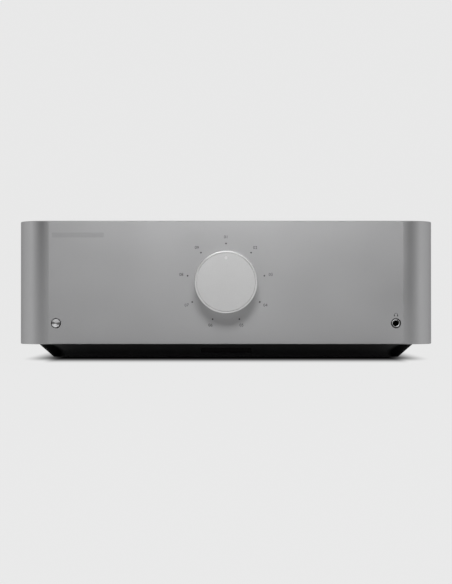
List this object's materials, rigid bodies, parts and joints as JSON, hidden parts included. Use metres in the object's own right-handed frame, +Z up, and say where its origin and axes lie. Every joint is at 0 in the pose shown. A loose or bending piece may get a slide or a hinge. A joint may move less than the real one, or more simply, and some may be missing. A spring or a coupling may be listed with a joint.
{
  "type": "integrated amplifier",
  "caption": "Full-width integrated stereo amplifier: rounded aluminium wrap on a bevelled black plinth, concentric front dials, standby button, headphone socket and full rear panel.",
  "frame": {"origin": "centre of the overall box in plan, on the surface that the feet stand on", "axes": "+X to the right as seen from the front, +Y from the front to the rear panel, +Z up"},
  "size_m": [0.46, 0.405, 0.152],
  "materials": {
    "black_heatsink": "black anodised",
    "black_plastic": "moulded",
    "black_screws": "black oxide",
    "black_steel": "black powder coat",
    "bright_steel": "ground",
    "bush_brass": "nickel plated",
    "button_metal": "spun face",
    "capacitor_sleeve": "shrink sleeve",
    "case_aluminium": "fine bead-blasted, grey anodised",
    "circuit_board": "green solder mask",
    "cover_aluminium": "fine bead-blasted, grey anodised",
    "dark_window": "gloss, infrared-transparent",
    "dial_aluminium": "fine bead-blasted, polished edges",
    "dial_face": "fine bead-blasted",
    "ferrule_chrome": "polished",
    "foot_rubber": "matt",
    "gloss_black": "gloss moulded",
    "gold_plate": "gold plated",
    "latch_steel": "satin",
    "lead_insulation": "flexible insulation",
    "name_plate_metal": "fine brushed, dark anodised, blank",
    "plinth_black": "satin black",
    "pointer_white": "gloss inlay",
    "rear_panel_metal": "black anodised",
    "red_plastic": "moulded",
    "white_plastic": "moulded",
    "winding_copper": "enamelled winding under clear tape",
    "zinc_steel": "zinc plated"
  },
  "bodies": {
    "amplifier": {"amplifier_boards": "circuit_board", "balanced_inputs": "black_plastic", "chassis_tray": "black_steel", "control_board": "circuit_board", "control_bush": "bush_brass", "data_sockets": "bright_steel", "feet": "foot_rubber", "foot_screws": "zinc_steel", "front_panel": "case_aluminium", "headphone_ferrule": "ferrule_chrome", "headphone_socket": "black_plastic", "heatsink_left": "black_heatsink", "heatsink_right": "black_heatsink", "infrared_window": "dark_window", "joining_brackets": "zinc_steel", "mains_inlet": "black_plastic", "mains_inlet_pins": "bright_steel", "name_plate": "name_plate_metal", "optical_sockets": "black_plastic", "output_transistors": "black_plastic", "phono_barrels": "gold_plate", "phono_insulators_red": "red_plastic", "phono_insulators_white": "white_plastic", "plinth": "plinth_black", "power_supply_board": "circuit_board", "rear_panel": "rear_panel_metal", "rear_panel_screws": "black_screws", "reservoir_capacitors": "capacitor_sleeve", "rotary_encoder": "black_plastic", "side_panel_left": "case_aluminium", "side_panel_right": "case_aluminium", "socket_board": "circuit_board", "speaker_terminal_bases": "black_plastic", "speaker_terminal_studs": "gold_plate", "standby_collar": "black_plastic", "top_cover": "cover_aluminium", "toroidal_transformers": "winding_copper", "transformer_can": "black_steel", "wireless_antenna": "black_plastic", "wiring": "lead_insulation"},
    "volume_dial": {"volume_knob": "dial_aluminium", "volume_knob_face": "dial_face", "volume_pointer": "pointer_white", "volume_shaft": "bright_steel"},
    "selector_dial": {"selector_ring": "dial_aluminium", "selector_pointer": "pointer_white", "selector_sleeve": "bright_steel"},
    "standby_key": {"standby_button": "button_metal"},
    "fuse_holder": {"fuse_drawer": "black_plastic"},
    "mains_switch": {"mains_rocker": "gloss_black"},
    "balanced_release_left": {"balanced_latch_left": "latch_steel"},
    "balanced_release_right": {"balanced_latch_right": "latch_steel"},
    "clamp_left_red": {"speaker_clamp_left_red": "gold_plate"},
    "cap_left_red": {"speaker_cap_left_red": "red_plastic"},
    "clamp_left_black": {"speaker_clamp_left_black": "gold_plate"},
    "cap_left_black": {"speaker_cap_left_black": "black_plastic"},
    "clamp_right_red": {"speaker_clamp_right_red": "gold_plate"},
    "cap_right_red": {"speaker_cap_right_red": "red_plastic"},
    "clamp_right_black": {"speaker_clamp_right_black": "gold_plate"},
    "cap_right_black": {"speaker_cap_right_black": "black_plastic"}
  },
  "joints": [
    {"name": "volume_turn", "type": "hinge", "parent": "amplifier", "child": "volume_dial", "pos_m": [0, -0.1645, 0.084], "axis": [0, 1, 0], "range_deg": [-150, 150]},
    {"name": "selector_turn", "type": "hinge", "parent": "amplifier", "child": "selector_dial", "pos_m": [0, -0.1645, 0.084], "axis": [0, 1, 0], "continuous": true},
    {"name": "standby_press", "type": "slide", "parent": "amplifier", "child": "standby_key", "axis": [0, 1, 0], "range_m": [0, 0.0015], "stiffness_N_per_m": 400, "springref_m": -0.0005},
    {"name": "fuse_drawer_pull", "type": "slide", "parent": "amplifier", "child": "fuse_holder", "axis": [0, 1, 0], "range_m": [0, 0.015]},
    {"name": "mains_switch_rock", "type": "hinge", "parent": "amplifier", "child": "mains_switch", "pos_m": [0.15, 0.1737, 0.046], "axis": [1, 0, 0], "range_deg": [0, 20]},
    {"name": "balanced_release_left_press", "type": "slide", "parent": "amplifier", "child": "balanced_release_left", "axis": [0, -1, 0], "range_m": [0, 0.002], "stiffness_N_per_m": 300, "springref_m": -0.0005},
    {"name": "balanced_release_right_press", "type": "slide", "parent": "amplifier", "child": "balanced_release_right", "axis": [0, -1, 0], "range_m": [0, 0.002], "stiffness_N_per_m": 300, "springref_m": -0.0005},
    {"name": "clamp_left_red_lift", "type": "slide", "parent": "amplifier", "child": "clamp_left_red", "axis": [0, 1, 0], "range_m": [0, 0.00501]},
    {"name": "cap_left_red_unscrew", "type": "hinge", "parent": "clamp_left_red", "child": "cap_left_red", "pos_m": [-0.136, 0.19, 0.108], "axis": [0, 1, 0], "range_deg": [0, 1440]},
    {"name": "clamp_left_black_lift", "type": "slide", "parent": "amplifier", "child": "clamp_left_black", "axis": [0, 1, 0], "range_m": [0, 0.00501]},
    {"name": "cap_left_black_unscrew", "type": "hinge", "parent": "clamp_left_black", "child": "cap_left_black", "pos_m": [-0.164, 0.19, 0.108], "axis": [0, 1, 0], "range_deg": [0, 1440]},
    {"name": "clamp_right_red_lift", "type": "slide", "parent": "amplifier", "child": "clamp_right_red", "axis": [0, 1, 0], "range_m": [0, 0.00501]},
    {"name": "cap_right_red_unscrew", "type": "hinge", "parent": "clamp_right_red", "child": "cap_right_red", "pos_m": [0.136, 0.19, 0.108], "axis": [0, 1, 0], "range_deg": [0, 1440]},
    {"name": "clamp_right_black_lift", "type": "slide", "parent": "amplifier", "child": "clamp_right_black", "axis": [0, 1, 0], "range_m": [0, 0.00501]},
    {"name": "cap_right_black_unscrew", "type": "hinge", "parent": "clamp_right_black", "child": "cap_right_black", "pos_m": [0.164, 0.19, 0.108], "axis": [0, 1, 0], "range_deg": [0, 1440]}
  ],
  "couplings": [
    {"joint": "clamp_left_red_lift", "follows": "cap_left_red_unscrew", "m_per_rad": 0.00019894},
    {"joint": "clamp_left_black_lift", "follows": "cap_left_black_unscrew", "m_per_rad": 0.00019894},
    {"joint": "clamp_right_red_lift", "follows": "cap_right_red_unscrew", "m_per_rad": 0.00019894},
    {"joint": "clamp_right_black_lift", "follows": "cap_right_black_unscrew", "m_per_rad": 0.00019894}
  ]
}
